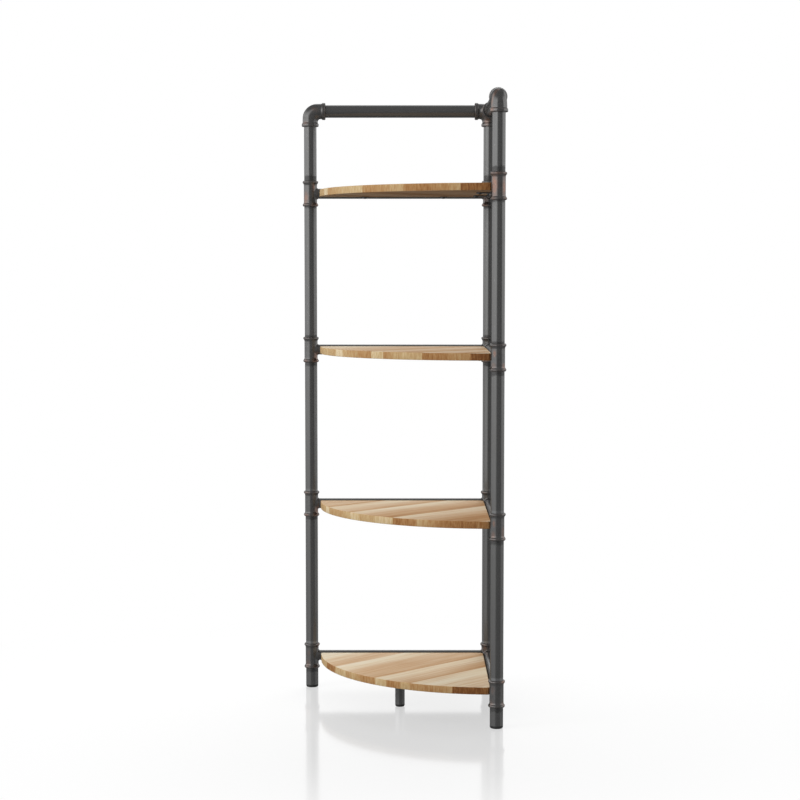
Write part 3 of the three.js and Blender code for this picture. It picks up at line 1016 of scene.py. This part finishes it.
def screw_body():
    """A screw that points up, its head under the origin."""
    outline = [(screw_crown_radius, -screw_head_height)]
    for step in range(1, screw_dome_steps + 1):
        turn = math.pi / 2 * step / screw_dome_steps
        across = screw_head_radius * math.sin(turn) ** 0.7
        depth = screw_head_height * (screw_rim + (1 - screw_rim) * math.cos(turn) ** 0.8)
        outline.append((across, -depth))
    outline += [
        (screw_head_radius, 0),
        (screw_shank_radius, 0),
        (screw_shank_radius, screw_length - 2 * screw_shank_radius),
        (screw_point_radius, screw_length),
    ]
    body = turned(outline, screw_sides)
    # The cross is two slots that narrow to half their size at the bottom.
    half = recess_width / 2
    corners = [(-recess_reach, -half), (recess_reach, -half), (recess_reach, half), (-recess_reach, half)]
    for turn in (0, math.pi / 2):
        slot = lofted(
            [
                [Vector((x, y, -screw_head_height - overrun)) for x, y in corners],
                [Vector((x, y, -screw_head_height)) for x, y in corners],
                [Vector((x / 2, y / 2, recess_depth - screw_head_height)) for x, y in corners],
            ]
        )
        slot.transform(Matrix.Rotation(turn, 4, "Z"))
        body = cut(body, [slot])
    return body


black_screw, tree, shader = new_finish("black_zinc", {"Metallic": 1.0})
found = use_marks(
    tree,
    color=(0.06, 0.06, 0.062, 1),
    marked_color=(0.12, 0.12, 0.122, 1),
    roughness=0.32,
    roughness_change=0.2,
    amount=0.4,
    scale=900.0,
    stretch=(1, 1, 1),
)
surfaced(tree, shader, found["Color"], found["Roughness"], found["Height"], distance=0.03 * mm)

screw = screw_body()


def drive(name, spot, turn):
    """A screw with its head against a spot. Each one's cross stopped at a turn of its own."""
    body = screw.copy()
    body.transform(Matrix.Translation(spot) @ Matrix.Rotation(turn, 4, "Z"))
    piece(name, body, black_screw)


# The way from the corner along each wall.
along = {"back": Vector((-1, 0, 0)), "side": Vector((0, -1, 0))}
for shelf in shelves:
    for wall, other_wall in (("back", "side"), ("side", "back")):
        low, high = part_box(f"{wall}_rail_{shelf}")
        height = (low.z + high.z) / 2 + tab_top - tab_thickness
        for tab in range(2):
            spot = Vector((*corner, height))
            spot += along[wall] * (tab_corner_distance + tab * tab_pitch)
            spot += along[other_wall] * (tab_reach - tab_width / 2)
            drive(f"tab_screw_{wall}_{shelf}_{tab + 1}", spot, 0.7 * shelf + 1.9 * tab)
for place, spot in enumerate(leg_screw_spots):
    drive(f"leg_screw_{place + 1}", spot, 0.5 * place)
screw.free()


# Foot caps.
# Moulded black plastic with a rounded rim. Each is pushed into the open end of a post or of the
# leg by its hollow plug, and stands on the floor.
cap_height = 6 * mm
cap_rounding = 4 * mm
cap_wall = 1.6 * mm
cap_plug_length = 12 * mm
cap_clearance = 0.3 * mm
cap_steps = 6

plastic, tree, shader = new_finish("moulded_black_plastic", {"IOR": 1.5})
found = use_marks(
    tree,
    color=(0.03, 0.03, 0.03, 1),
    marked_color=(0.05, 0.05, 0.048, 1),
    roughness=0.42,
    roughness_change=0.2,
    amount=0.5,
    scale=1200.0,
    stretch=(1, 1, 1),
)
surfaced(tree, shader, found["Color"], found["Roughness"], found["Height"], distance=0.05 * mm)

for node in ("left_foot_cap", "corner_foot_cap", "right_foot_cap", "centre_leg_cap"):
    low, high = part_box(node)
    radius = (high.x - low.x) / 2
    plug = radius - pipe_wall - cap_clearance
    outline = [(radius - cap_rounding, 0)]
    for step in range(1, cap_steps + 1):
        turn = math.pi / 2 * step / cap_steps
        across = radius - cap_rounding * (1 - math.sin(turn))
        outline.append((across, cap_rounding * (1 - math.cos(turn))))
    outline += [
        (radius, cap_height),
        (plug, cap_height),
        (plug, cap_height + cap_plug_length),
        (plug - cap_wall, cap_height + cap_plug_length),
        (plug - cap_wall, cap_height),
    ]
    body = turned(outline)
    middle = (low + high) / 2
    body.transform(Matrix.Translation((middle.x, middle.y, low.z)))
    piece(f"{node}_moulding", body, plastic, [node])


# Floor.
# A plain, pale and slightly glossy floor, which the unit stands on. Away from the unit it runs out
# into the white background. It isn't a part of the unit.
floor_reach = 40
floor_sides = 64
floor_lift = 0.572  # what the camera sees on top of the light that the floor reflects
fade_start = 0.45  # from the middle of the unit
fade_end = 1.4

body = bmesh.new()
bmesh.ops.create_circle(body, cap_ends=True, segments=floor_sides, radius=floor_reach)
floor = placed("floor", mesh_of("floor", body))
floor.visible_glossy = False
floor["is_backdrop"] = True

pale, tree, shader = new_finish(
    "pale_floor",
    {"Base Color": (0.18, 0.18, 0.18, 1), "Roughness": 0.1, "Specular IOR Level": 0.35},
)
seen = add(tree, "ShaderNodeLightPath").outputs["Is Camera Ray"]
lift = add(tree, "ShaderNodeEmission", {"Strength": computed(tree, "MULTIPLY", seen, floor_lift)})
lifted = add(tree, "ShaderNodeAddShader", {0: shader.outputs[0], 1: lift.outputs[0]})
place = add(tree, "ShaderNodeTexCoord").outputs["Object"]
away = add(tree, "ShaderNodeVectorMath", {0: place}, operation="LENGTH").outputs["Value"]
fade = add(
    tree, "ShaderNodeMapRange", {"Value": away, "From Min": fade_start, "From Max": fade_end},
    interpolation_type="SMOOTHSTEP",
).outputs[0]
fade_seen = computed(tree, "MULTIPLY", fade, seen)
white = add(tree, "ShaderNodeEmission", {"Strength": 1.0}).outputs[0]
whole = add(tree, "ShaderNodeMixShader", {0: fade_seen, 1: lifted.outputs[0], 2: white})
tree.links.new(whole.outputs[0], tree.nodes["Material Output"].inputs["Surface"])
floor.data.materials.append(pale)


# Light.
# A white studio. Soft walls of light stand left and right, the camera's side is dim, and a narrow
# white field stands straight behind. Two soft lamps add to it: front left, and high behind.
side_light = 0.95
lit_point = Vector((0, 0, 0.7))

world = bpy.data.worlds.new("studio")
world.use_nodes = True
bpy.context.scene.world = world
tree = world.node_tree
sky = tree.nodes["Background"]
place = add(tree, "ShaderNodeTexCoord").outputs["Generated"]
direction = add(tree, "ShaderNodeSeparateXYZ", {0: place}).outputs
toward = computed(tree, "MULTIPLY", direction["Y"], -1.0)
heading = computed(tree, "ARCTAN2", direction["X"], toward)
around = computed(tree, "MULTIPLY_ADD", heading, 1 / (2 * math.pi), 0.5)
upward = computed(tree, "MULTIPLY_ADD", direction["Z"], 0.5, 0.5)


def by_heading(stops):
    """Light by its heading in degrees: 0 is the camera's side, 90 the right and 180 behind."""
    return ramp(tree, around, [(degrees / 360 + 0.5, light) for degrees, light in stops])


def by_height(stops):
    """Light by its height: 0 is straight down, 0.5 level and 1 straight up."""
    return ramp(tree, upward, stops)


def together(blend, first, second):
    inputs = {"Factor": 1.0, 6: first, 7: second}
    return add(tree, "ShaderNodeMix", inputs, data_type="RGBA", blend_type=blend).outputs[2]


walls = by_heading(
    [
        (-180, 0.0), (-142, 0.0), (-128, side_light), (-95, side_light),
        (-60, side_light * 1.15), (-31, side_light * 1.1), (-17, 0.0), (57, 0.0),
        (71, side_light * 0.82), (140, side_light * 0.82), (152, 0.0),
    ]
)
rising = by_height(
    [(0.3, 0.1), (0.385, 0.15), (0.42, 0.25), (0.5, 0.65), (0.54, 0.85), (0.7, 0.8), (0.85, 0.0)]
)
room = by_height([(0.2, 0.13), (0.4, 0.16), (0.6, 0.175), (1.0, 0.18)])
lit_room = together("ADD", together("MULTIPLY", walls, rising), room)
# The floor mirrors the field behind towards the camera.
behind = by_heading([(-180, 1.0), (-168, 1.0), (-160, 0.0), (160, 0.0), (168, 1.0)])
above = by_height([(0.578, 0.0), (0.592, 1.0), (0.69, 1.0), (0.76, 0.6), (0.95, 0.5), (0.99, 0.2)])
mirrored = together("LIGHTEN", lit_room, together("MULTIPLY", behind, above))
# Only glossy surfaces mirror the studio. This soft sky lights all others.
soft = by_height([(0.35, 0.5), (0.5, 1.25), (0.6, 1.0), (0.75, 0.72), (1.0, 0.66)])
rays = add(tree, "ShaderNodeLightPath").outputs
glow = overlaid(tree, soft, mirrored, rays["Is Glossy Ray"])
background = overlaid(tree, glow, (1, 1, 1, 1), rays["Is Camera Ray"])
tree.links.new(background, sky.inputs["Color"])


def soft_lamp(name, place, size, energy):
    """A round lamp turned to the middle of the unit. It isn't mirrored in the pipes."""
    data = bpy.data.lights.new(name, "AREA")
    data.shape = "DISK"
    data.size = size
    data.energy = energy
    lamp = placed(name, data)
    lamp.location = place
    lamp.rotation_euler = (lit_point - lamp.location).to_track_quat("-Z", "Y").to_euler()
    lamp.visible_glossy = False
    lamp.visible_camera = False


soft_lamp("side_lamp", place=(-2.7, -1.6, 1.5), size=1.6, energy=50)
soft_lamp("back_lamp", place=(0.4, 3.0, 2.8), size=2.4, energy=90)


# Camera.
# A long lens, 4.8 m in front of the unit and nearly three quarters of the way up it, looking
# slightly down.
camera_tilt = 4.645  # degrees down, and to the left
camera_turn = 0.042

camera_data = bpy.data.cameras.new("camera")
camera_data.lens = 86.7
camera_data.sensor_width = 36
camera_data.shift_y = 0.0337
camera_data.clip_end = 100
camera = placed("camera", camera_data)
camera.location = (3.6 * mm, -4781 * mm, 1094 * mm)
camera.rotation_euler = (math.radians(90 - camera_tilt), 0, math.radians(camera_turn))
bpy.context.scene.camera = camera

bpy.context.scene.view_settings.view_transform = "Standard"

boxes = {"cad": cad_box, "visual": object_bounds()}
{name: [list(end) for end in ends] for name, ends in boxes.items()}
